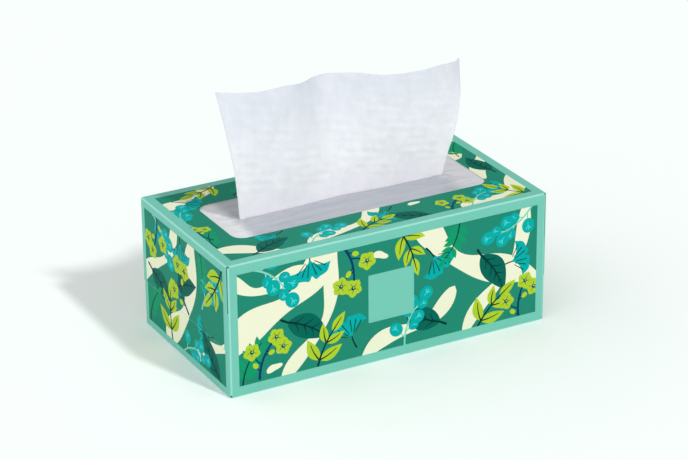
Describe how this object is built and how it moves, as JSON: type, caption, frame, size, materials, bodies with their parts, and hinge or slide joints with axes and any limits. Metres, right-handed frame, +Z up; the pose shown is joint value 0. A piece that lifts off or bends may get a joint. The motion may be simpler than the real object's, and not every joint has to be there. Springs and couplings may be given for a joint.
{
  "type": "tissue box",
  "caption": "Low rectangular paperboard carton of interfolded facial tissues, with a leaf print, a film window with a slit, and one sheet standing in the slit.",
  "frame": {"origin": "middle of the carton's underside, on the surface it stands on", "axes": "+X along the long side to the right as seen from the front, +Y to the back, +Z up; the front faces -Y"},
  "size_m": [0.2306, 0.1246, 0.176],
  "materials": {
    "board": "coated folding boxboard, mint print outside, pale grey inside and at cut edges",
    "film": "thin satin film, pale grey",
    "tissue": "soft two-ply tissue paper, white",
    "print_green": "green ink on coated board",
    "print_cream": "cream ink on coated board",
    "print_dark": "dark green ink on coated board",
    "print_teal": "teal ink on coated board",
    "print_lime": "lime ink on coated board"
  },
  "bodies": {
    "root": {"carton": "board", "film_window": "film", "tissue_clip": "tissue", "popup_tissue": "tissue", "print_green": "print_green", "print_cream": "print_cream", "print_dark": "print_dark", "print_teal": "print_teal", "print_lime": "print_lime"}
  },
  "joints": []
}
